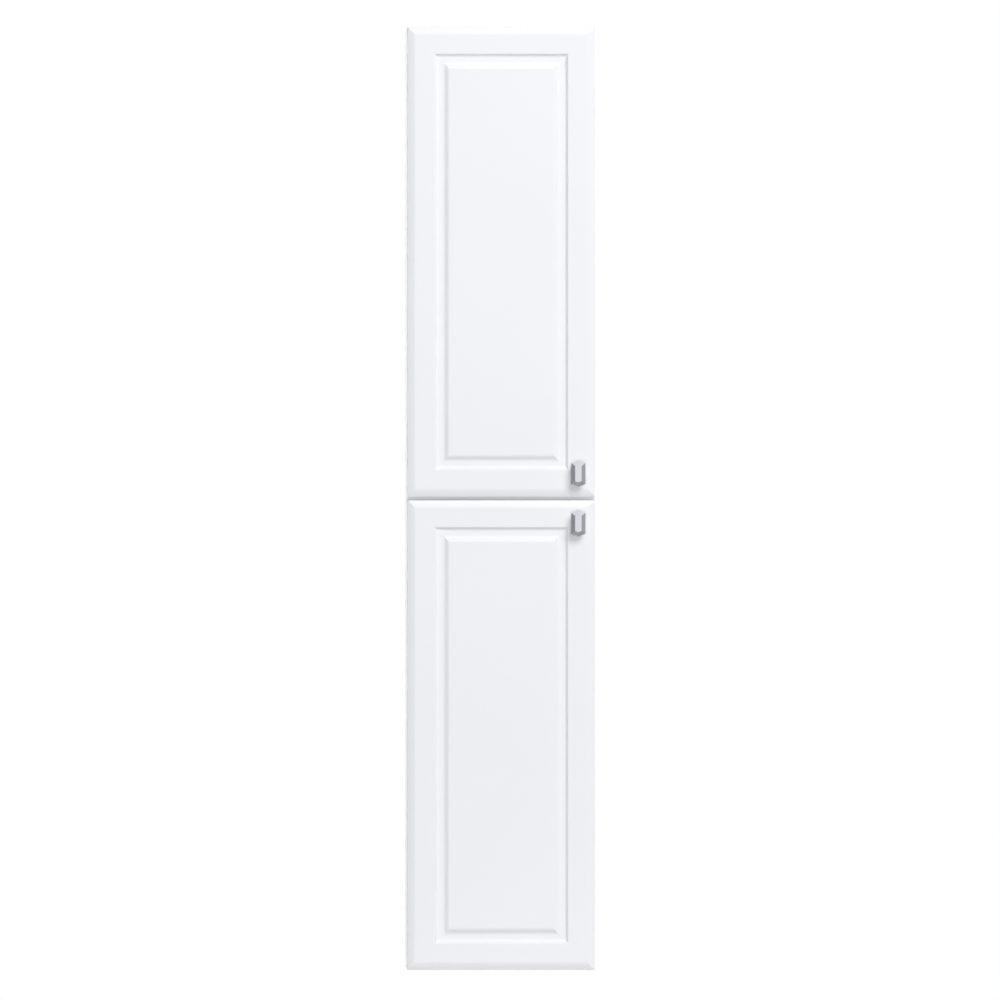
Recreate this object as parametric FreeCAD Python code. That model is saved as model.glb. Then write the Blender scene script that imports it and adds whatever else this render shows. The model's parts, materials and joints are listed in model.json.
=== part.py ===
"""Tall wall-hung bathroom cabinet: white carcass, two routed doors, grey knobs.

Millimetres. X right, Y towards the wall, Z up; the origin is the centre of the base.
Left and right are as seen from the front.
"""
import FreeCAD
import Part
import math
import os

V = FreeCAD.Vector

# ---------------------------------------------------------------- driving sizes
WIDTH = 350.0            # carcass, outside
HEIGHT = 1760.0
DEPTH = 329.0            # carcass without the doors
BOARD = 16.0             # melamine board
BACK = 3.0               # hardboard back
BACK_INSET = 18.0        # free space behind the back for the wall rail
BACK_GROOVE = 5.0        # depth of the groove that holds the back
BAND = 1.0               # front edge band

DOOR = 18.0              # door thickness
DOOR_GAP = 3.0           # between the carcass front and the door's back
SIDE_REVEAL = 0.5        # door edge inside the carcass edge
MID_GAP = 7.0            # between the two doors

BEVEL_W = 14.0           # sloping outer edge of the door face
BEVEL_BEND = 8.0         # inner part of it, which curves
BEVEL_SLOPES = (6.0, 22.0)       # degrees at the curve's two ends
GROOVE_S = 48.5          # where the routed groove starts, from the door's edge
GROOVE_D = 5.0
STEP_SLOPE = 58.0        # steepest place of the step down, degrees
ARRIS_R = 3.5            # rounding where the frame meets the step
FLOOR_W = 7.0
RISE_W = 14.0            # curved rise to the centre field

CUP_R = 17.5             # 35 mm hinge cup
CUP_EDGE = 3.0           # wood left between cup and door edge
CUP_DEPTH = 12.3
CUP_WALL = 0.8
FLANGE_T = 1.2
FLANGE_R = 18.2
PIN_IN = 6.6             # hinge pin from the door's edge
PIN_DEEP = 8.5           # hinge pin below the door's back face
PIN_R = 1.2
EYE_R = 2.1
ARM_HALF = 3.5           # half width of the arm inside the cup
HINGE_END = 100.0        # hinge centre from the door's end
PLATE_BACK = 37.0        # mounting plate screws from the carcass front
PLATE_SCREW_R = 2.3
PLATE_HOLE = 11.5
SYSTEM = 32.0            # drilling pitch of the side panels

KNOB_IN = 31.25          # knob centre from the door's right edge
KNOB_END = 43.0          # knob centre from the door's end
KNOB_W = 26.5
KNOB_SIDE = 39.0         # straight sides of the head
KNOB_TALL = 48.5         # over the points
KNOB_FACE = (12.0, 28.0) # flat on the front of the head: width, straight sides
KNOB_TIP = 33.0          # front flat's height over the points

GLASS = 6.0
SHELF_SIDE = 1.5         # glass to side panel
SHELF_DEPTH = 280.0
SHELF_FRONT = 20.0       # glass from the carcass front
SUPPORT_R = 2.5
FIT = 0.08               # clearance of a round part in its hole

# ---------------------------------------------------------------- derived
X0 = -WIDTH / 2.0
X1 = WIDTH / 2.0
YF = -DEPTH / 2.0        # carcass front plane
YB = DEPTH / 2.0         # wall plane
XI = X1 - BOARD          # inner face of the right side
Z_MID = HEIGHT / 2.0
DOOR_W = WIDTH - 2 * SIDE_REVEAL
DOOR_H = (HEIGHT - 2 * SIDE_REVEAL - MID_GAP) / 2.0
DX0 = X0 + SIDE_REVEAL
DX1 = X1 - SIDE_REVEAL
DYB = YF - DOOR_GAP      # door's back face
DYF = DYB - DOOR         # door's front face
BACK_Y = YB - BACK_INSET - BACK
DOORS = {
    "upper": Z_MID + MID_GAP / 2.0,
    "lower": SIDE_REVEAL,
}
PIVOT = V(DX0 + PIN_IN, DYB - PIN_DEEP, 0)
CUP_X = DX0 + CUP_EDGE + CUP_R

parts = {}


def box(x0, x1, y0, y1, z0, z1):
    return Part.makeBox(x1 - x0, y1 - y0, z1 - z0, V(x0, y0, z0))


def cyl(r, h, at, way):
    return Part.makeCylinder(r, h, at, way)


def fuse(shapes):
    out = shapes[0]
    for s in shapes[1:]:
        out = out.fuse(s)
    return out.removeSplitter()


def prism(points, depth, way):
    """Closed polygon pushed along one direction."""
    wire = Part.makePolygon(points + [points[0]])
    return Part.Face(wire).extrude(way * depth)


# ---------------------------------------------------------------- carcass
PANEL_Z = {
    "bottom": 0.0,
    "middle": Z_MID - BOARD / 2.0,
    "top": HEIGHT - BOARD,
}
CAM_EDGE = 45.0          # cams from the board's front and from the back panel
CAM_Y = (YF + CAM_EDGE, BACK_Y - CAM_EDGE)
DOWEL_Y = (0.5 * (YF + BACK_Y),)
CAM_IN = 24.0            # cam centre from the side panel's face
CAM_R = 7.5
CAM_H = 12.5
BOLT_R = 2.5
BOLT_THREAD = 10.5       # bolt length inside the side panel
BOLT_BORE = 3.5
CAM_SLOT = 1.2           # driver slot in the cam
DOWEL_R = 4.0
DOWEL_L = 30.0
DOWEL_SIDE = 11.0        # dowel length inside the side panel

SPAN = (HEIGHT - 3 * BOARD) / 2.0
SHELF_Z = {}
for tag, floor in (("lower", BOARD), ("upper", Z_MID + BOARD / 2.0)):
    SHELF_Z[tag + "_compartment_low"] = floor + SPAN / 3.0
    SHELF_Z[tag + "_compartment_high"] = floor + 2 * SPAN / 3.0
SUPPORT_FRONT = 49.0      # front shelf supports from the carcass front
SUPPORT_REAR = 40.0      # rear ones from the glass's back edge
SUPPORT_Y = (YF + SUPPORT_FRONT, YF + SHELF_FRONT + SHELF_DEPTH - SUPPORT_REAR)
SUPPORT_W = 7.0
PEG_L = 9.5
PEG_HOLE = 10.0

HINGE_Z = {}
for tag, z0 in DOORS.items():
    HINGE_Z[tag] = (z0 + HINGE_END, z0 + DOOR_H - HINGE_END)

HANG_H = 56.0            # hanger housing
HANG_W = 20.0
HANG_D = 38.0
HANG_BELOW = 26.0        # housing below the top board
HANG_Z = HEIGHT - BOARD - HANG_BELOW - HANG_H / 2.0
HANG_PEG_R = 5.0
HANG_PEG_L = 10.0
HANG_PEG_Z = (-16.0, 16.0)
HANG_SCREWS = (-14.0, 19.0)      # height of the two adjusting screws in the housing
PLATE_PITCH = (-SYSTEM / 2.0, SYSTEM / 2.0)


def side_panel(s):
    """s = -1 left, +1 right."""
    xa, xb = sorted((s * X1, s * XI))
    p = box(xa, xb, YF + BAND, YB, 0, HEIGHT)
    inner = s * XI
    g0, g1 = sorted((inner, inner + s * BACK_GROOVE))
    cuts = [box(g0, g1, BACK_Y, BACK_Y + BACK, 0, HEIGHT)]
    out = V(s, 0, 0)
    for z in SHELF_Z.values():
        for y in SUPPORT_Y:
            for k in (-1, 0, 1):
                at = V(inner, y, z - SUPPORT_R + k * SYSTEM)
                cuts.append(cyl(SUPPORT_R + FIT, PEG_HOLE, at, out))
    for z0 in PANEL_Z.values():
        for y in CAM_Y:
            at = V(inner, y, z0 + BOARD / 2.0)
            cuts.append(cyl(BOLT_R + FIT, BOLT_THREAD + 0.5, at, out))
        for y in DOWEL_Y:
            at = V(inner, y, z0 + BOARD / 2.0)
            cuts.append(cyl(DOWEL_R + FIT, DOWEL_SIDE + 0.5, at, out))
    for dz in HANG_PEG_Z:
        at = V(inner, BACK_Y - HANG_D / 2.0, HANG_Z + dz)
        cuts.append(cyl(HANG_PEG_R + FIT, HANG_PEG_L + 0.5, at, out))
    if s < 0:
        for pair in HINGE_Z.values():
            for zh in pair:
                for dz in PLATE_PITCH:
                    at = V(inner, YF + PLATE_BACK, zh + dz)
                    cuts.append(cyl(PLATE_SCREW_R + FIT, PLATE_HOLE, at, out))
    return p.cut(cuts)


def cross_panel(z0, back_to):
    """Horizontal board between the sides, with its cam and dowel holes."""
    p = box(-XI, XI, YF + BAND, back_to, z0, z0 + BOARD)
    if back_to > BACK_Y:
        p = p.cut(box(-XI, XI, BACK_Y, BACK_Y + BACK, *panel_groove(z0)))
    zc = z0 + BOARD / 2.0
    cuts = []
    for s in (-1, 1):
        for y in CAM_Y:
            at = V(s * (XI - CAM_IN), y, z0)
            cuts.append(cyl(CAM_R + FIT, CAM_H + 0.5, at, V(0, 0, 1)))
            cuts.append(cyl(BOLT_BORE, CAM_IN, V(s * XI, y, zc), V(-s, 0, 0)))
        for y in DOWEL_Y:
            length = DOWEL_L - DOWEL_SIDE + 0.5
            cuts.append(cyl(DOWEL_R + FIT, length, V(s * XI, y, zc), V(-s, 0, 0)))
    return p.cut(cuts)


def panel_groove(z0):
    """Groove for the back: in the top of the base board, in the underside of the top."""
    if z0 < 1.0:
        return BOARD - BACK_GROOVE, BOARD
    return z0, z0 + BACK_GROOVE


parts["left_side_panel"] = side_panel(-1)
parts["right_side_panel"] = side_panel(1)
parts["bottom_panel"] = cross_panel(PANEL_Z["bottom"], YB)
parts["top_panel"] = cross_panel(PANEL_Z["top"], YB)
parts["middle_panel"] = cross_panel(PANEL_Z["middle"], BACK_Y)

# back, with the two openings the hanger hooks pass through
HOOK_X = XI - HANG_W / 2.0 - 1.0
HOOK_W = 10.0
HOOK_T = 4.0
HOOK_H = 8.0             # height of the hook's arm
RAIL_LIP = 17.0          # top of the rail's lip above the housing's middle
LIP_TOP = HANG_Z + RAIL_LIP
back_x = XI + BACK_GROOVE - 0.5
back_z = BOARD - BACK_GROOVE + 0.5
back = box(-back_x, back_x, BACK_Y, BACK_Y + BACK, back_z, HEIGHT - back_z)
for s in (-1, 1):
    xa, xb = s * HOOK_X - HOOK_W / 2.0 - 2.0, s * HOOK_X + HOOK_W / 2.0 + 2.0
    back = back.cut(box(xa, xb, BACK_Y, BACK_Y + BACK, LIP_TOP - 9.0, LIP_TOP + HOOK_H + 9.0))
parts["back_panel"] = back

# edge bands on the front edges
bands = []
for s in (-1, 1):
    xa, xb = sorted((s * X1, s * XI))
    bands.append(box(xa, xb, YF, YF + BAND, 0, HEIGHT))
for z0 in PANEL_Z.values():
    bands.append(box(-XI, XI, YF, YF + BAND, z0, z0 + BOARD))
parts["front_edge_bands"] = Part.makeCompound(bands)

# cams, their bolts and the dowels
cams, bolts, dowels = [], [], []
for z0 in PANEL_Z.values():
    zc = z0 + BOARD / 2.0
    for s in (-1, 1):
        for y in CAM_Y:
            xc = s * (XI - CAM_IN)
            cam = cyl(CAM_R, CAM_H, V(xc, y, z0 + 0.2), V(0, 0, 1))
            pa, pb = sorted((xc, xc + s * CAM_R))
            pocket = box(pa, pb, y - BOLT_BORE, y + BOLT_BORE, zc - BOLT_BORE, zc + BOLT_BORE)
            half = CAM_SLOT / 2.0
            slot = box(xc - CAM_R / 2.0, xc + CAM_R / 2.0, y - half, y + half, z0, z0 + 2.0)
            cams.append(cam.cut([pocket, slot]))
            at = V(s * (XI + BOLT_THREAD), y, zc)
            bolts.append(cyl(BOLT_R, BOLT_THREAD + CAM_IN - BOLT_R, at, V(-s, 0, 0)))
        for y in DOWEL_Y:
            at = V(s * (XI + DOWEL_SIDE), y, zc)
            dowels.append(cyl(DOWEL_R, DOWEL_L, at, V(-s, 0, 0)))
parts["cam_locks"] = Part.makeCompound(cams)
parts["cam_bolts"] = Part.makeCompound(bolts)
parts["wooden_dowels"] = Part.makeCompound(dowels)

# ---------------------------------------------------------------- glass shelves
supports, pads = [], []
PAD = 1.0
for name, z in SHELF_Z.items():
    y0 = YF + SHELF_FRONT
    sx = XI - SHELF_SIDE
    glass = box(-sx, sx, y0, y0 + SHELF_DEPTH, z + PAD, z + PAD + GLASS)
    edges = [e for e in glass.Edges if abs(e.Vertexes[0].Z - e.Vertexes[1].Z) < 0.01]
    parts["glass_shelf_" + name] = glass.makeChamfer(0.8, edges)
    for s in (-1, 1):
        for y in SUPPORT_Y:
            ya, yb = y - SUPPORT_W / 2.0, y + SUPPORT_W / 2.0
            peg = cyl(SUPPORT_R, PEG_L, V(s * XI, y, z - SUPPORT_R), V(s, 0, 0))
            xa, xb = sorted((s * XI, s * (XI - 1.0)))
            collar = box(xa, xb, ya, yb, z - 6.0, z)
            xa, xb = sorted((s * (XI - 1.0), s * (XI - 9.0)))
            tongue = box(xa, xb, ya, yb, z - 2.0, z)
            supports.append(fuse([peg, collar, tongue]))
            xa, xb = sorted((s * (XI - 2.0), s * (XI - 8.5)))
            pads.append(box(xa, xb, ya + 0.5, yb - 0.5, z, z + PAD))
parts["shelf_supports"] = Part.makeCompound(supports)
parts["shelf_support_pads"] = Part.makeCompound(pads)

# ---------------------------------------------------------------- wall hanging
RAIL_H = 36.0            # the rail's flat plate
RAIL_T = 2.0
RAIL_STEP = 12.0         # from the wall to the front of the rail's lip
RAIL_Z = LIP_TOP - 11.0 - RAIL_H / 2.0
RAIL_X = XI - 3.0
WALL_HOLE_X = 125.0
WALL_HOLE_R = 3.25
ledge_z = RAIL_Z + RAIL_H / 2.0
rail = fuse([
    box(-RAIL_X, RAIL_X, YB - RAIL_T, YB, RAIL_Z - RAIL_H / 2.0, ledge_z),
    box(-RAIL_X, RAIL_X, YB - RAIL_STEP, YB, ledge_z - RAIL_T, ledge_z),
    box(-RAIL_X, RAIL_X, YB - RAIL_STEP, YB - RAIL_STEP + RAIL_T, ledge_z - RAIL_T, LIP_TOP),
])
for s in (-1, 1):
    at = V(s * WALL_HOLE_X, YB - 2 * RAIL_T, RAIL_Z)
    rail = rail.cut(cyl(WALL_HOLE_R, 3 * RAIL_T, at, V(0, 1, 0)))
parts["wall_rail"] = rail

HANG_SIDE = 2.0          # housing's side walls
HANG_END = 3.0           # its top and bottom walls
HANG_WEB = 6.0           # web that carries the screws, behind the front edge
ADJUST_R = 2.5           # adjusting screws
ADJUST_HEAD = 4.5
ADJUST_L = 12.0
HOOK_BACK = 14.0         # hook's block in front of the back panel
HOOK_GAP = 1.0           # claw behind the rail's lip
CAP_T = 2.0
DRIVE = 1.2              # width of a screw's driver slot

housings, hooks, screws, caps = [], [], [], []
for s in (-1, 1):
    xm = s * HOOK_X
    xa, xb = sorted((s * XI, s * (XI - HANG_W)))
    ca, cb = xa + HANG_SIDE, xb - HANG_SIDE
    y0 = BACK_Y - HANG_D
    yw = y0 + HANG_WEB
    z0 = HANG_Z - HANG_H / 2.0
    z1 = z0 + HANG_H
    shell = box(xa, xb, y0, BACK_Y, z0, z1)
    shell = shell.cut(box(ca, cb, y0, BACK_Y, z0 + HANG_END, z1 - HANG_END))
    made = [shell, box(ca, cb, yw, yw + HANG_END, z0 + HANG_END, z1 - HANG_END)]
    for dz in HANG_PEG_Z:
        at = V(s * XI, BACK_Y - HANG_D / 2.0, HANG_Z + dz)
        made.append(cyl(HANG_PEG_R, HANG_PEG_L, at, V(s, 0, 0)))
    shell = fuse(made)
    ya = BACK_Y - HOOK_BACK - HOOK_T
    yc = YB - RAIL_STEP + RAIL_T + HOOK_GAP
    ha, hb = xm - HOOK_W / 2.0, xm + HOOK_W / 2.0
    hook = fuse([
        box(ha, hb, ya, ya + HOOK_T, HANG_Z - HANG_END * 6, LIP_TOP + HOOK_H),
        box(ha, hb, ya + HOOK_T, yc + HOOK_T, LIP_TOP, LIP_TOP + HOOK_H),
        box(ha, hb, yc, yc + HOOK_T, LIP_TOP - 7.0, LIP_TOP),
    ])
    for dz in HANG_SCREWS:
        z = HANG_Z + dz
        shell = shell.cut(cyl(ADJUST_R + 0.1, 3 * HANG_END, V(xm, y0, z), V(0, 1, 0)))
        hook = hook.cut(cyl(ADJUST_R + FIT, 3 * HOOK_T, V(xm, ya - HOOK_T, z), V(0, 1, 0)))
        head = cyl(ADJUST_HEAD, HANG_END, V(xm, yw - HANG_END - 0.1, z), V(0, 1, 0))
        groove = box(xm - 3.0, xm + 3.0, y0, yw - 2.0, z - DRIVE / 2.0, z + DRIVE / 2.0)
        stud = cyl(ADJUST_R, ADJUST_L, V(xm, yw - 0.1, z), V(0, 1, 0))
        screws.append(fuse([head.cut(groove), stud]))
    housings.append(shell)
    hooks.append(hook)
    cap = box(xa, xb, y0 - CAP_T, y0, z0, z1)
    cap = cap.makeChamfer(0.8, [e for e in cap.Edges if e.CenterOfMass.y < y0 - CAP_T + 0.1])
    rim = box(ca, cb, y0, y0 + CAP_T, z0 + HANG_END, z1 - HANG_END)
    hollow = box(ca + 1, cb - 1, y0, y0 + CAP_T, z0 + HANG_END + 1, z1 - HANG_END - 1)
    caps.append(fuse([cap, rim.cut(hollow)]))
parts["hanger_housings"] = Part.makeCompound(housings)
parts["hanger_hooks"] = Part.makeCompound(hooks)
parts["hanger_adjusting_screws"] = Part.makeCompound(screws)
parts["hanger_cover_caps"] = Part.makeCompound(caps)

# ---------------------------------------------------------------- hinges, fixed side
PLATE_T = 3.0
PLATE_W = 14.0
PLATE_L = 48.0
SPINE = 6.0              # top of the plate's spine above the side panel
SPINE_Y = (14.0, 66.0)   # its two ends, from the carcass front
SPINE_W = 12.0
ARM_WEB = 8.0            # outer face of the arm's web above the side panel
ARM_T = 1.7
ARM_W = 16.0
ARM_Y = (5.9, 72.0)      # channel of the arm, from the carcass front
DEPTH_SCREW = (2.0, 55.0)        # radius, distance from the carcass front
SIDE_SCREW = (2.5, 20.0)
HX = -XI                 # inner face of the left side panel


def arm_profile():
    """Goose neck from the pin round the cup's rim into the cabinet, in the XY plane."""
    px, py = PIVOT.x, PIVOT.y
    web = HX + ARM_WEB
    pts = [
        V(px, py - EYE_R, 0),
        V(px + 2.0, py - 2.6, 0),
        V(web - 1.5, py - 2.6, 0),
        V(web, py - 1.1, 0),
        V(web, YF + 6.0, 0),
        V(web - ARM_T, YF + 6.0, 0),
        V(web - 3.4, YF + 2.0, 0),
        V(web - 3.4, py + 1.0, 0),
        V(web - 5.2, py - 0.75, 0),
        V(px + 3.2, py - 0.75, 0),
        V(px, py + EYE_R, 0),
    ]
    return pts


arms, plates, plate_screws, arm_screws, side_screws = [], [], [], [], []
OUT = V(1, 0, 0)
web_x = HX + ARM_WEB
y_plate = YF + PLATE_BACK
y_depth = YF + DEPTH_SCREW[1]
y_side = YF + SIDE_SCREW[1]
for pair in HINGE_Z.values():
    for zh in pair:
        neck = prism([p + V(0, 0, zh - ARM_HALF) for p in arm_profile()], 2 * ARM_HALF, V(0, 0, 1))
        eye = cyl(EYE_R, 2 * ARM_HALF, V(PIVOT.x, PIVOT.y, zh - ARM_HALF), V(0, 0, 1))
        ya, yb = YF + ARM_Y[0], YF + ARM_Y[1]
        channel = box(HX + PLATE_T + 0.4, web_x, ya, yb, zh - ARM_W / 2, zh + ARM_W / 2)
        hollow = ARM_W / 2 - ARM_T
        channel = channel.cut(box(HX, web_x - ARM_T, YF, yb, zh - hollow, zh + hollow))
        arm = fuse([neck, eye, channel])
        bore = cyl(PIN_R + FIT, ARM_W, V(PIVOT.x, PIVOT.y, zh - ARM_W / 2), V(0, 0, 1))
        depth_hole = cyl(DEPTH_SCREW[0] + 0.3, ARM_WEB, V(web_x - 2 * ARM_T, y_depth, zh), OUT)
        side_hole = cyl(SIDE_SCREW[0] + 0.1, ARM_WEB, V(web_x - 2 * ARM_T, y_side, zh), OUT)
        arms.append(arm.cut([bore, depth_hole, side_hole]))
        ya, yb = y_plate - PLATE_W / 2, y_plate + PLATE_W / 2
        wing = box(HX, HX + PLATE_T, ya, yb, zh - PLATE_L / 2, zh + PLATE_L / 2)
        wing = wing.makeChamfer(4.0, [e for e in wing.Edges if abs(e.Length - PLATE_T) < 0.01])
        spine = box(HX, HX + SPINE, YF + SPINE_Y[0], YF + SPINE_Y[1], zh - SPINE_W / 2, zh + SPINE_W / 2)
        holes = [
            cyl(DEPTH_SCREW[0] + FIT, SPINE, V(HX + 1, y_depth, zh), OUT),
            cyl(SIDE_SCREW[0] + FIT, SPINE, V(HX + PLATE_T, y_side, zh), OUT),
        ]
        for dz in PLATE_PITCH:
            at = V(HX + PLATE_T, y_plate, zh + dz)
            holes.append(Part.makeCone(PLATE_SCREW_R + 0.1, 4.2, PLATE_T, at - OUT * PLATE_T, OUT))
            head = Part.makeCone(PLATE_SCREW_R, 4.1, PLATE_T, at - OUT * PLATE_T, OUT)
            drive = box(at.x - 1.0, at.x, at.y - 2.5, at.y + 2.5, at.z - DRIVE / 2, at.z + DRIVE / 2)
            body = cyl(PLATE_SCREW_R, PLATE_HOLE - 0.5, at - OUT * PLATE_T, OUT * -1)
            plate_screws.append(fuse([head.cut(drive), body]))
        plates.append(fuse([wing, spine]).cut(holes))
        cap = cyl(2 * DEPTH_SCREW[0], 2.2, V(web_x, y_depth, zh), OUT)
        drive = box(web_x + 1.0, web_x + 2.2, y_depth - 2.5, y_depth + 2.5, zh - DRIVE / 2, zh + DRIVE / 2)
        stud = cyl(DEPTH_SCREW[0], ARM_WEB - 1.5, V(web_x, y_depth, zh), OUT * -1)
        arm_screws.append(fuse([cap.cut(drive), stud]))
        grub = cyl(SIDE_SCREW[0], ARM_WEB - PLATE_T - 0.4, V(HX + PLATE_T + 0.2, y_side, zh), OUT)
        drive = box(web_x - 1.2, web_x, y_side - 2.0, y_side + 2.0, zh - DRIVE / 2, zh + DRIVE / 2)
        side_screws.append(grub.cut(drive))
parts["hinge_arms"] = Part.makeCompound(arms)
parts["hinge_mounting_plates"] = Part.makeCompound(plates)
parts["hinge_plate_screws"] = Part.makeCompound(plate_screws)
parts["hinge_depth_screws"] = Part.makeCompound(arm_screws)
parts["hinge_side_screws"] = Part.makeCompound(side_screws)


# ---------------------------------------------------------------- doors
def run(corner, along, inward, length, profile):
    """One side's moulding cutter: the profile pushed along, cut at 45 degrees at both ends.

    profile: lines and arcs through points (s, d); s runs from the door's edge towards
    its middle, d into the door.
    """
    into = V(0, 1, 0)
    start = corner - along * OVER

    def at(p):
        return start + inward * p[0] + into * p[1]
    edges = []
    for item in profile:
        if len(item) == 3:
            edges.append(Part.Arc(at(item[0]), at(item[1]), at(item[2])).toShape())
        else:
            edges.append(Part.makeLine(at(item[0]), at(item[1])))
    bar = Part.Face(Part.Wire(edges)).extrude(along * (length + 2 * OVER))
    far = 0.28 * DOOR_W          # beyond the moulding, short of the door's middle
    base = corner - into * (OVER + 1)
    wedge = prism([
        base - along * OVER - inward * OVER,
        base + along * (length + OVER) - inward * OVER,
        base + along * (length - far) + inward * far,
        base + along * far + inward * far,
    ], 2 * OVER + 12.0, into)
    return bar.common(wedge)


def ring(z0, profile):
    """The four mitred runs of a moulding round one door face."""
    low, high = V(DX0, DYF, z0), V(DX1, DYF, z0 + DOOR_H)
    x, z = V(1, 0, 0), V(0, 0, 1)
    return [
        run(low, x, z, DOOR_W, profile),
        run(low, z, x, DOOR_H, profile),
        run(high, x * -1, z * -1, DOOR_W, profile),
        run(high, z * -1, x * -1, DOOR_H, profile),
    ]


def bend(start, along, into, width, a0, a1):
    """Arc in the profile plane: its slope turns from a0 to a1 degrees over the width.

    along and into are +1 or -1: the way it runs in s and in d.
    """
    u, v = math.radians(a0), math.radians(a1)
    r = width / (math.sin(v) - math.sin(u))

    def at(t):
        return (start[0] + along * r * (math.sin(t) - math.sin(u)),
                start[1] + into * r * (math.cos(u) - math.cos(t)))
    return start, at((u + v) / 2.0), at(v)


OVER = 3.0               # cutters start this far in front of the face
steep = math.radians(STEP_SLOPE)
cove_r = GROOVE_D / (1.0 - math.cos(steep)) - ARRIS_R
rise_slope = math.degrees(2.0 * math.atan(GROOVE_D / RISE_W))
arris = bend((GROOVE_S, 0.0), 1, 1, ARRIS_R * math.sin(steep), 0.0, STEP_SLOPE)
cove = bend(arris[2], 1, 1, cove_r * math.sin(steep), STEP_SLOPE, 0.0)
floor_end = (cove[2][0] + FLOOR_W, cove[2][1])
foot = bend(floor_end, 1, -1, RISE_W / 2.0, 0.0, rise_slope)
crest = bend(foot[2], 1, -1, RISE_W / 2.0, rise_slope, 0.0)
front = (crest[2][0], -OVER)
GROOVE = [
    ((GROOVE_S, -OVER), arris[0]),
    arris,
    cove,
    (cove[2], floor_end),
    foot,
    crest,
    (crest[2], front),
    (front, (GROOVE_S, -OVER)),
]
shoulder = bend((BEVEL_W, 0.0), -1, 1, BEVEL_BEND, *BEVEL_SLOPES)
slant = (BEVEL_W - BEVEL_BEND) * math.tan(math.radians(BEVEL_SLOPES[1]))
lip = (0.0, shoulder[2][1] + slant)
EDGE = [
    shoulder,
    (shoulder[2], lip),
    (lip, (-OVER, lip[1])),
    ((-OVER, lip[1]), (-OVER, -OVER)),
    ((-OVER, -OVER), (BEVEL_W, -OVER)),
    ((BEVEL_W, -OVER), (BEVEL_W, 0.0)),
]

knob_z = {
    "upper": DOORS["upper"] + KNOB_END,
    "lower": DOORS["lower"] + DOOR_H - KNOB_END,
}
KNOB_X = DX1 - KNOB_IN
STEM_R = 6.0
STEM_L = 12.0
KNOB_BACK = (18.0, 28.0, 35.0)   # back of the head: width, straight sides, height
HEAD_BACK = 4.0          # straight rim of the head
HEAD_SLOPE = 7.0         # height of the sloping facets
SCREW_R = 2.0
SCREW_IN = 9.0           # screw length inside the knob


def hexagon(y, z, width, side, tall):
    """Upright six-cornered outline with points at top and bottom."""
    w, a, b = width / 2.0, side / 2.0, tall / 2.0
    pts = [V(KNOB_X - w, y, z - a), V(KNOB_X, y, z - b), V(KNOB_X + w, y, z - a),
           V(KNOB_X + w, y, z + a), V(KNOB_X, y, z + b), V(KNOB_X - w, y, z + a)]
    return Part.makePolygon(pts + [pts[0]])


def knob(z):
    y0 = DYF
    foot = Part.makeCone(7.5, STEM_R, 2.0, V(KNOB_X, y0, z), V(0, -1, 0))
    stem = cyl(STEM_R, STEM_L - 2.0, V(KNOB_X, y0 - 2.0, z), V(0, -1, 0))
    yb = y0 - STEM_L
    under = Part.makeLoft([
        hexagon(yb, z, *KNOB_BACK),
        hexagon(yb - 2.0, z, KNOB_W, KNOB_SIDE, KNOB_TALL)], True, True)
    rim = Part.makeLoft([
        hexagon(yb - 2.0, z, KNOB_W, KNOB_SIDE, KNOB_TALL),
        hexagon(yb - 2.0 - HEAD_BACK, z, KNOB_W, KNOB_SIDE, KNOB_TALL)], True, True)
    crown = Part.makeLoft([
        hexagon(yb - 2.0 - HEAD_BACK, z, KNOB_W, KNOB_SIDE, KNOB_TALL),
        hexagon(yb - 2.0 - HEAD_BACK - HEAD_SLOPE, z, KNOB_FACE[0], KNOB_FACE[1], KNOB_TIP)],
        True, True)
    k = fuse([foot, stem, under, rim, crown])
    return k.cut(cyl(SCREW_R + FIT, SCREW_IN + 1.0, V(KNOB_X, y0, z), V(0, -1, 0)))


def hinge_cup(zh):
    """35 mm cup with its flange, screw ears and the two lugs that hold the pin."""
    yb = DYB
    down = V(0, -1, 0)
    shell = cyl(CUP_R, CUP_DEPTH, V(CUP_X, yb, zh), down)
    flange = cyl(FLANGE_R, FLANGE_T, V(CUP_X, yb + FLANGE_T, zh), down)
    ear_x = CUP_X + 5.5
    ears = [box(ear_x - 6, ear_x + 6, yb, yb + FLANGE_T, zh - 24, zh + 24)]
    for dz in (-24.0, 24.0):
        ears.append(cyl(6.0, FLANGE_T, V(ear_x, yb + FLANGE_T, zh + dz), down))
    body = fuse([shell, flange] + ears)
    inside = cyl(CUP_R - CUP_WALL, CUP_DEPTH - CUP_WALL + FLANGE_T,
                 V(CUP_X, yb + FLANGE_T, zh), down)
    lugs = []
    for s in (-1, 1):
        za, zb = sorted((zh + s * (ARM_HALF + 0.3), zh + s * 12.0))
        lug = box(PIVOT.x - 8, PIVOT.x + 3.2, PIVOT.y - 6, PIVOT.y + 3.2, za, zb)
        lugs.append(lug.common(inside))
    body = body.cut(inside)
    body = fuse([body] + lugs)
    body = body.cut(cyl(PIN_R + FIT, 17.4, V(PIVOT.x, PIVOT.y, zh - 8.7), V(0, 0, 1)))
    for dz in (-24.0, 24.0):
        body = body.cut(cyl(2.0 + FIT, 4, V(ear_x, yb + 2, zh + dz), down))
    return body


SPRING_T = 0.5
SPRING_W = 8.0
SPRING_FAR = 28.0        # from the pin to the spring's fixed end
SPRING_BEND = 20.8
SPRING_NOSE = 18.0
SPRING_MID = 5.0         # height of the nose above the cup's floor
SPRING_TOP = 8.0


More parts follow.
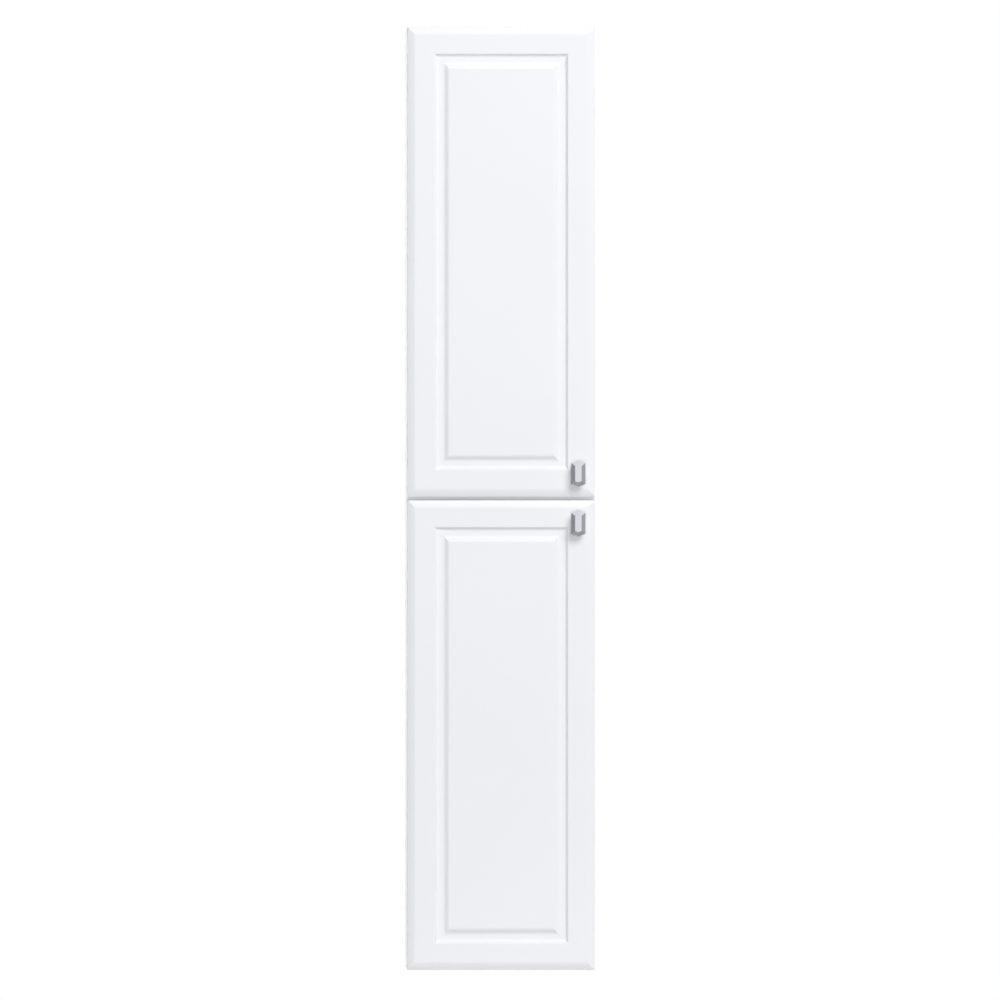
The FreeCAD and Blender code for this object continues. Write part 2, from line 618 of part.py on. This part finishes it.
def closing_spring(zh):
    """Bent leaf in the free half of the cup, its nose beside the arm."""
    fx = PIVOT.x
    fy = DYB - CUP_DEPTH + CUP_WALL
    t = SPRING_T
    nose = SPRING_NOSE
    line = [(SPRING_FAR, 0), (SPRING_BEND, 0), (nose, SPRING_MID), (nose + 2 * t, SPRING_TOP)]
    back = [(nose + 3 * t, SPRING_TOP), (nose + t, SPRING_MID), (SPRING_BEND + t, t), (SPRING_FAR, t)]
    pts = [V(fx + a, fy + b, zh - SPRING_W / 2) for a, b in line + back]
    return prism(pts, SPRING_W, V(0, 0, 1))


for tag, z0 in DOORS.items():
    slab = box(DX0, DX1, DYF, DYB, z0, z0 + DOOR_H)
    slab = slab.cut(ring(z0, EDGE))
    slab = slab.cut(ring(z0, GROOVE))
    cups, pins, cup_screws, springs, bumpers = [], [], [], [], []
    for zh in HINGE_Z[tag]:
        slab = slab.cut(cyl(CUP_R + FIT, CUP_DEPTH + 0.1, V(CUP_X, DYB, zh), V(0, -1, 0)))
        cups.append(hinge_cup(zh))
        pins.append(cyl(PIN_R, 17.2, V(PIVOT.x, PIVOT.y, zh - 8.6), V(0, 0, 1)))
        springs.append(closing_spring(zh))
        for dz in (-24.0, 24.0):
            at = V(CUP_X + 5.5, DYB, zh + dz)
            slab = slab.cut(cyl(1.75 + FIT, 11.0, at, V(0, -1, 0)))
            head = cyl(3.6, 1.3, at + V(0, FLANGE_T, 0), V(0, 1, 0))
            head = head.cut(box(at.x - 2.2, at.x + 2.2, at.y + FLANGE_T + 0.6, at.y + 4,
                                at.z - 0.45, at.z + 0.45))
            cup_screws.append(fuse([head, cyl(1.75, 12.0, at + V(0, FLANGE_T, 0), V(0, -1, 0))]))
    zk = knob_z[tag]
    slab = slab.cut(cyl(SCREW_R + 0.25, DOOR, V(KNOB_X, DYF, zk), V(0, 1, 0)))
    head = cyl(4.0, 2.2, V(KNOB_X, DYB, zk), V(0, 1, 0))
    head = head.cut(box(KNOB_X - 2.4, KNOB_X + 2.4, DYB + 1.2, DYB + 3, zk - 0.5, zk + 0.5))
    shank = cyl(SCREW_R, DOOR + SCREW_IN, V(KNOB_X, DYB, zk), V(0, -1, 0))
    for zb in (z0 + 5.0 + 3.0, z0 + DOOR_H - 8.0):
        bumpers.append(cyl(4.0, DOOR_GAP, V(XI + BOARD / 2.0, DYB, zb), V(0, 1, 0)))
    parts[tag + "_door"] = slab
    parts[tag + "_hinge_cups"] = Part.makeCompound(cups)
    parts[tag + "_hinge_pins"] = Part.makeCompound(pins)
    parts[tag + "_hinge_springs"] = Part.makeCompound(springs)
    parts[tag + "_cup_screws"] = Part.makeCompound(cup_screws)
    parts[tag + "_knob"] = knob(zk)
    parts[tag + "_knob_screw"] = fuse([head, shank])
    parts[tag + "_door_bumpers"] = Part.makeCompound(bumpers)

os.makedirs("parts", exist_ok=True)
for name, shape in parts.items():
    shape.exportStep("parts/" + name + ".step")
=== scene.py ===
"""Dresses the tall bathroom cabinet: materials, floor, light and camera. Lengths are in metres."""
import json
import math

import bpy
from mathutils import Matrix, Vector


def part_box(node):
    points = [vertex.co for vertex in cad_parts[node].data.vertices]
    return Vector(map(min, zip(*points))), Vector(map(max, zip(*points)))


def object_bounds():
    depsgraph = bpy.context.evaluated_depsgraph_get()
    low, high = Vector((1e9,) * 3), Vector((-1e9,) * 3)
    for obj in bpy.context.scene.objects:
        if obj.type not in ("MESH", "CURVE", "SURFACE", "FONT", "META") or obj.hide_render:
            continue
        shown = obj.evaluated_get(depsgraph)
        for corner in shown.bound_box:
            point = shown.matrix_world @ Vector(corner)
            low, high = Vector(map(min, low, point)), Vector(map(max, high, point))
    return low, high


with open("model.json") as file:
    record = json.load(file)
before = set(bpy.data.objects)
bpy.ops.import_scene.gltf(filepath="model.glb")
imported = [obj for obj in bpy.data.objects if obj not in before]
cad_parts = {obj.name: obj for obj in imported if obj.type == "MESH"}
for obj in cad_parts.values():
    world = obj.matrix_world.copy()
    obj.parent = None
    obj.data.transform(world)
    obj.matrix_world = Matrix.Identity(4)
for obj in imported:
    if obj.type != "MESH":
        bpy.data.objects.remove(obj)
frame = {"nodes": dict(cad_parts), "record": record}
nodes = frame["nodes"]
cad_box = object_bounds()

# ---------------------------------------------------------------- sizes from the frame
door_low, door_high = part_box("upper_door")
side_low, side_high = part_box("left_side_panel")
front_y = door_low[1]                      # face of the doors
door_left, door_right = door_low[0], door_high[0]
height = side_high[2] - side_low[2]
doors_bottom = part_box("lower_door")[0][2]
doors_top = door_high[2]

# ---------------------------------------------------------------- camera
FRAME_PX = 1000.0                          # the photograph's width and height
FRONT_LEFT_PX, FRONT_RIGHT_PX = 408.0, 594.65      # edges of the doors in the photograph
FRONT_TOP_PX, FRONT_BOTTOM_PX = 27.05, 969.9
CAMERA_DISTANCE = 40.0
CAMERA_LEFT = 0.67                         # camera to the left of the cabinet's middle
SENSOR = 36.0                              # millimetres
CLIP_END = 100.0

# ---------------------------------------------------------------- lamps
# name: (direction towards the lamp, distance, side of the square lamp, light level, mirrored)
LAMPS = {
    "key": ((0.33, -0.75, 0.58), 7.4, 3.8, 0.585, True),
    "front": ((0.0, -1.0, -0.06), 6.0, 2.4, 0.42, False),
    "rim_left": ((-0.88, 0.43, 0.2), 4.5, 2.4, 0.77, False),
    "rim_right": ((0.88, 0.43, 0.2), 4.5, 2.4, 0.55, False),
    "behind": ((0.0, 1.0, 0.8), 4.5, 2.4, 0.3, False),
}

# ---------------------------------------------------------------- surroundings
SKY = 0.15                                 # light level of the surroundings
SKY_SEEN = 1.0                             # their white to the camera, in metal and through glass
FLOOR_SIZE = 6.0
FLOOR_DROP = 0.30                          # the cabinet hangs this far above the floor
FLOOR_FADE_START, FLOOR_FADE_END = 0.5, 1.5        # distances from the middle of the floor
FLOOR_TONE = 0.84                          # the floor's grey as the camera sees it
FLOOR_TONE_LIT = 0.45                      # for other rays, so that it throws little light upwards
FLOOR_ROUGHNESS = 0.8
# grey cards beside the studio that only reflections see: (place, brightness)
CARDS = {
    "card_left": ((-1.6, -0.4, 0.9), 0.31),
    "card_right": ((1.6, -0.4, 0.9), 0.50),
    "card_below": ((0.0, -0.4, -0.25), 0.42),
    "card_above": ((0.0, -2.6, 3.9), 1.3),
}
CARD_SIZE = 2.4
CARD_AIM_HEIGHT = 0.9                      # the cards face a point at this height
CARD_BLUE = 1.04                           # blue of a card as a share of its brightness

# ---------------------------------------------------------------- finishes
WHITE = (0.895, 0.902, 0.925)
WIDE, NARROW = 0.2, 0.15                   # half the range of a texture that its two tones span
BOARD_TONE, METAL_TONE, PLASTIC_TONE = 0.985, 0.93, 0.97   # darker tone as a share of the colour
BOARD_CLOUD = 3.0                          # scale of the faint cloudiness of a white board
BOARD_SPECULAR = 0.4
BOARD_COAT_ROUGHNESS = 0.25
BOARD_BUMP, METAL_BUMP, PLASTIC_BUMP, GLASS_BUMP, BEECH_BUMP = 0.25, 0.15, 0.2, 0.05, 0.3
PLASTIC_GRAIN, PLASTIC_GRAIN_DEPTH = 1400.0, 0.00003
GLASS_IOR = 1.5
GLASS_WAVE, GLASS_WAVE_DEPTH = 6.0, 0.0001
GLASS_FACE_ROUGHNESS, GLASS_EDGE_ROUGHNESS = 0.015, 0.3
GLASS_EDGE_CLEARNESS = 0.3
BEECH_STRETCH = (12, 160, 160)             # the grain runs along X
BEECH_DARK, BEECH_LIGHT = (0.42, 0.26, 0.13), (0.62, 0.42, 0.24)
BEECH_GRAIN, BEECH_GRAIN_DEPTH = 6.0, 0.0001


def new_material(name):
    mat = bpy.data.materials.new(name)
    mat.use_nodes = True
    tree = mat.node_tree
    return mat, tree, tree.nodes["Principled BSDF"]


def add(tree, kind, **values):
    node = tree.nodes.new(kind)
    for key, value in values.items():
        setattr(node, key, value)
    return node


def object_coords(tree, stretch=(1, 1, 1)):
    """Coordinates in metres on the object, multiplied by stretch."""
    coords = add(tree, "ShaderNodeTexCoord")
    mapping = add(tree, "ShaderNodeMapping")
    mapping.inputs["Scale"].default_value = stretch
    tree.links.new(coords.outputs["Object"], mapping.inputs["Vector"])
    return mapping.outputs["Vector"]


def noise(tree, coords, scale, detail=2.0, rough=0.5):
    node = add(tree, "ShaderNodeTexNoise")
    node.inputs["Scale"].default_value = scale
    node.inputs["Detail"].default_value = detail
    node.inputs["Roughness"].default_value = rough
    tree.links.new(coords, node.inputs["Vector"])
    return node.outputs["Fac"]


def ramp(tree, fac, stops):
    """Colour that goes through stops, each a level of fac and its colour."""
    node = add(tree, "ShaderNodeValToRGB")
    elements = node.color_ramp.elements
    while len(elements) < len(stops):
        elements.new(0.5)
    for element, (place, colour) in zip(elements, stops):
        element.position = place
        element.color = (*colour, 1.0)
    tree.links.new(fac, node.inputs["Fac"])
    return node.outputs["Color"]


def spread(tree, fac, low, high):
    """Value that goes from low to high as fac goes from 0 to 1."""
    node = add(tree, "ShaderNodeMapRange")
    node.inputs["To Min"].default_value = low
    node.inputs["To Max"].default_value = high
    tree.links.new(fac, node.inputs["Value"])
    return node.outputs["Result"]


def two_tones(colour, share, half_range):
    """Stops from a darker tone, which is share of the colour, to the colour itself."""
    return [(0.5 - half_range, tuple(c * share for c in colour)), (0.5 + half_range, colour)]


def paint(tree, shader, fac, stops):
    tree.links.new(ramp(tree, fac, stops), shader.inputs["Base Color"])


def roughen(tree, shader, fac, low, high):
    tree.links.new(spread(tree, fac, low, high), shader.inputs["Roughness"])


def bump(tree, shader, fac, strength, distance):
    node = add(tree, "ShaderNodeBump")
    node.inputs["Strength"].default_value = strength
    node.inputs["Distance"].default_value = distance
    tree.links.new(fac, node.inputs["Height"])
    tree.links.new(node.outputs["Normal"], shader.inputs["Normal"])


def white_board(name, colour, rough, grain_scale, grain_depth, coat=0.0):
    """White lacquer, foil or melamine: faint cloudiness, fine surface texture."""
    mat, tree, shader = new_material(name)
    coords = object_coords(tree)
    cloud = noise(tree, coords, BOARD_CLOUD, detail=3.0)
    paint(tree, shader, cloud, two_tones(colour, BOARD_TONE, WIDE))
    grain = noise(tree, coords, grain_scale, rough=0.6)
    roughen(tree, shader, grain, rough - 0.05, rough + 0.05)
    bump(tree, shader, grain, BOARD_BUMP, grain_depth)
    shader.inputs["Specular IOR Level"].default_value = BOARD_SPECULAR
    shader.inputs["Coat Weight"].default_value = coat
    shader.inputs["Coat Roughness"].default_value = BOARD_COAT_ROUGHNESS
    return mat


def metal(name, colour, rough, stretch=(1, 1, 1), grain_scale=900.0, grain_depth=0.00002):
    """Metal with a fine grain, drawn out into brushing where stretch isn't even."""
    mat, tree, shader = new_material(name)
    grain = noise(tree, object_coords(tree, stretch), grain_scale, detail=3.0, rough=0.6)
    paint(tree, shader, grain, two_tones(colour, METAL_TONE, WIDE))
    roughen(tree, shader, grain, rough - 0.04, rough + 0.05)
    bump(tree, shader, grain, METAL_BUMP, grain_depth)
    shader.inputs["Metallic"].default_value = 1.0
    return mat


def plastic(name, colour, rough, see_through=0.0):
    mat, tree, shader = new_material(name)
    grain = noise(tree, object_coords(tree), PLASTIC_GRAIN)
    paint(tree, shader, grain, two_tones(colour, PLASTIC_TONE, NARROW))
    roughen(tree, shader, grain, rough - 0.05, rough + 0.05)
    bump(tree, shader, grain, PLASTIC_BUMP, PLASTIC_GRAIN_DEPTH)
    shader.inputs["Transmission Weight"].default_value = see_through
    return mat


def glass(name, pane, edge):
    """Float glass: clear through its faces, green and satin on its ground edges."""
    mat, tree, shader = new_material(name)
    facing = add(tree, "ShaderNodeTexCoord")
    axes = add(tree, "ShaderNodeSeparateXYZ")
    tree.links.new(facing.outputs["Normal"], axes.inputs["Vector"])
    level = add(tree, "ShaderNodeMath", operation="ABSOLUTE")
    tree.links.new(axes.outputs["Z"], level.inputs[0])
    flat = level.outputs[0]                # 1 on the faces, 0 on the edges
    paint(tree, shader, flat, [(0.2, edge), (0.9, pane)])
    roughen(tree, shader, flat, GLASS_EDGE_ROUGHNESS, GLASS_FACE_ROUGHNESS)
    clearness = spread(tree, flat, GLASS_EDGE_CLEARNESS, 1.0)
    tree.links.new(clearness, shader.inputs["Transmission Weight"])
    wave = noise(tree, object_coords(tree), GLASS_WAVE, detail=1.0)
    bump(tree, shader, wave, GLASS_BUMP, GLASS_WAVE_DEPTH)
    shader.inputs["IOR"].default_value = GLASS_IOR
    return mat


def beech(name):
    mat, tree, shader = new_material(name)
    grain = noise(tree, object_coords(tree, BEECH_STRETCH), BEECH_GRAIN, detail=6.0, rough=0.65)
    paint(tree, shader, grain, [(0.25, BEECH_DARK), (0.6, BEECH_LIGHT)])
    roughen(tree, shader, grain, 0.5, 0.7)
    bump(tree, shader, grain, BEECH_BUMP, BEECH_GRAIN_DEPTH)
    return mat


materials = {
    # colour, roughness, scale and depth of the surface texture, coat
    "white_foil_mdf": white_board("white foil", WHITE, 0.38, 1800.0, 0.00002, coat=0.15),
    "white_melamine": white_board("white melamine", WHITE, 0.45, 2600.0, 0.00004),
    "white_edge_band": white_board("white edge band", WHITE, 0.42, 2200.0, 0.00003),
    "white_hardboard": white_board("white lacquered back", (0.86, 0.87, 0.89), 0.6, 900.0, 0.00006),
    # colour of the faces, colour of the edges
    "clear_glass": glass("clear glass", (0.94, 0.98, 0.965), (0.42, 0.62, 0.56)),
    # colour, roughness
    "nickel_steel": metal("nickel plated steel", (0.72, 0.70, 0.67), 0.22),
    "zinc": metal("die-cast zinc", (0.60, 0.61, 0.63), 0.42, grain_depth=0.00004),
    "steel": metal("zinc plated screws", (0.68, 0.69, 0.71), 0.3),
    "spring_steel": metal("spring steel", (0.42, 0.42, 0.45), 0.3, stretch=(1, 1, 12)),
    "galvanised_steel": metal("galvanised steel", (0.62, 0.64, 0.66), 0.4, grain_scale=220.0),
    "satin_grey_metal": metal("satin grey nickel", (0.71, 0.72, 0.76), 0.22,
                              stretch=(1, 1, 0.06), grain_scale=2400.0),
    "white_plastic": plastic("white plastic", (0.86, 0.86, 0.87), 0.45),
    "clear_soft_plastic": plastic("clear soft plastic", (0.85, 0.87, 0.88), 0.35, see_through=0.6),
    "beech": beech("beech"),
}


def smooth_group():
    """Geometry node group that shades a mesh smooth within each CAD face."""
    group = bpy.data.node_groups.new("Smooth faces", "GeometryNodeTree")
    for direction in ("INPUT", "OUTPUT"):
        group.interface.new_socket("Geometry", in_out=direction, socket_type="NodeSocketGeometry")
    enter = group.nodes.new("NodeGroupInput")
    leave = group.nodes.new("NodeGroupOutput")
    smooth = group.nodes.new("GeometryNodeSetShadeSmooth")
    group.links.new(enter.outputs[0], smooth.inputs["Geometry"])
    group.links.new(smooth.outputs[0], leave.inputs[0])
    return group


def dress_nodes():
    slot_of = {part["node"]: part["material_slot"] for part in frame["record"]["subparts"]}
    smoother = smooth_group()
    for name, obj in nodes.items():
        slot = slot_of[name]
        obj.data.materials.clear()
        obj.data.materials.append(materials[slot])
        modifier = obj.modifiers.new("Smooth faces", "NODES")
        modifier.node_group = smoother


def make_floor():
    """Pale floor below the hung cabinet, fading out into the white surroundings."""
    bpy.ops.mesh.primitive_plane_add(size=FLOOR_SIZE, location=(0, 0, cad_box[0][2] - FLOOR_DROP))
    floor = bpy.context.object
    floor.name = "floor"
    mat, tree, shader = new_material("pale floor")
    shader.inputs["Roughness"].default_value = FLOOR_ROUGHNESS
    path = add(tree, "ShaderNodeLightPath")
    tones = [(0.0, (FLOOR_TONE_LIT,) * 3), (1.0, (FLOOR_TONE,) * 3)]
    paint(tree, shader, path.outputs["Is Camera Ray"], tones)
    coords = add(tree, "ShaderNodeTexCoord")
    length = add(tree, "ShaderNodeVectorMath", operation="LENGTH")
    tree.links.new(coords.outputs["Object"], length.inputs[0])
    fade = add(tree, "ShaderNodeMapRange", interpolation_type="SMOOTHSTEP")
    fade.inputs["From Min"].default_value = FLOOR_FADE_START
    fade.inputs["From Max"].default_value = FLOOR_FADE_END
    fade.inputs["To Min"].default_value = 1.0
    fade.inputs["To Max"].default_value = 0.0
    tree.links.new(length.outputs["Value"], fade.inputs["Value"])
    tree.links.new(fade.outputs["Result"], shader.inputs["Alpha"])
    floor.data.materials.append(mat)


def make_world():
    """Dim white surroundings that look fully white to the camera, in metal and through glass."""
    world = bpy.data.worlds.new("studio")
    bpy.context.scene.world = world
    world.use_nodes = True
    tree = world.node_tree
    background = tree.nodes["Background"]
    background.inputs["Color"].default_value = (1, 1, 1, 1)
    path = add(tree, "ShaderNodeLightPath")
    seen = path.outputs["Is Camera Ray"]
    for ray in ("Is Glossy Ray", "Is Transmission Ray"):
        either = add(tree, "ShaderNodeMath", operation="MAXIMUM")
        tree.links.new(seen, either.inputs[0])
        tree.links.new(path.outputs[ray], either.inputs[1])
        seen = either.outputs[0]
    tree.links.new(spread(tree, seen, SKY, SKY_SEEN), background.inputs["Strength"])


def make_lights():
    middle = Vector((0.0, front_y, height / 2))
    for name, (direction, distance, side, level, mirrored) in LAMPS.items():
        data = bpy.data.lights.new(name, "AREA")
        data.size = side
        # the power at which a far white face square to the lamp renders at the lamp's level
        data.energy = level * math.pi ** 2 * distance ** 2
        lamp = bpy.data.objects.new(name, data)
        bpy.context.scene.collection.objects.link(lamp)
        lamp.location = middle + Vector(direction).normalized() * distance
        lamp.rotation_euler = (middle - lamp.location).to_track_quat("-Z", "Y").to_euler()
        lamp.visible_glossy = mirrored


def make_cards():
    for name, (place, brightness) in CARDS.items():
        bpy.ops.mesh.primitive_plane_add(size=CARD_SIZE, location=place)
        card = bpy.context.object
        card.name = name
        towards = Vector((0.0, place[1], CARD_AIM_HEIGHT)) - Vector(place)
        card.rotation_euler = towards.to_track_quat("Z", "Y").to_euler()
        mat, tree, _ = new_material(name)
        glow = add(tree, "ShaderNodeEmission")
        glow.inputs["Color"].default_value = (brightness, brightness, brightness * CARD_BLUE, 1.0)
        tree.links.new(glow.outputs[0], tree.nodes["Material Output"].inputs["Surface"])
        card.data.materials.append(mat)
        for ray in ("camera", "diffuse", "transmission", "volume_scatter", "shadow"):
            setattr(card, "visible_" + ray, False)


def make_camera():
    """Camera whose view puts the doors' front where the photograph has it."""
    scale = (doors_top - doors_bottom) / (FRONT_BOTTOM_PX - FRONT_TOP_PX)      # metres per pixel
    middle_x_px = (FRONT_LEFT_PX + FRONT_RIGHT_PX) / 2
    middle_y_px = (FRONT_TOP_PX + FRONT_BOTTOM_PX) / 2
    target = Vector((
        (door_left + door_right) / 2 - (middle_x_px - FRAME_PX / 2) * scale,
        front_y,
        (doors_bottom + doors_top) / 2 + (middle_y_px - FRAME_PX / 2) * scale,
    ))
    place = Vector((-CAMERA_LEFT, front_y - CAMERA_DISTANCE, target.z))
    data = bpy.data.cameras.new("camera")
    data.sensor_width = SENSOR
    data.lens = SENSOR * (target - place).length / (scale * FRAME_PX)
    data.clip_end = CLIP_END
    camera = bpy.data.objects.new("camera", data)
    bpy.context.scene.collection.objects.link(camera)
    camera.location = place
    camera.rotation_euler = (target - place).to_track_quat("-Z", "Y").to_euler()
    bpy.context.scene.camera = camera


dress_nodes()
make_floor()
make_world()
make_lights()
make_cards()
make_camera()
bpy.context.scene.view_settings.view_transform = "Standard"
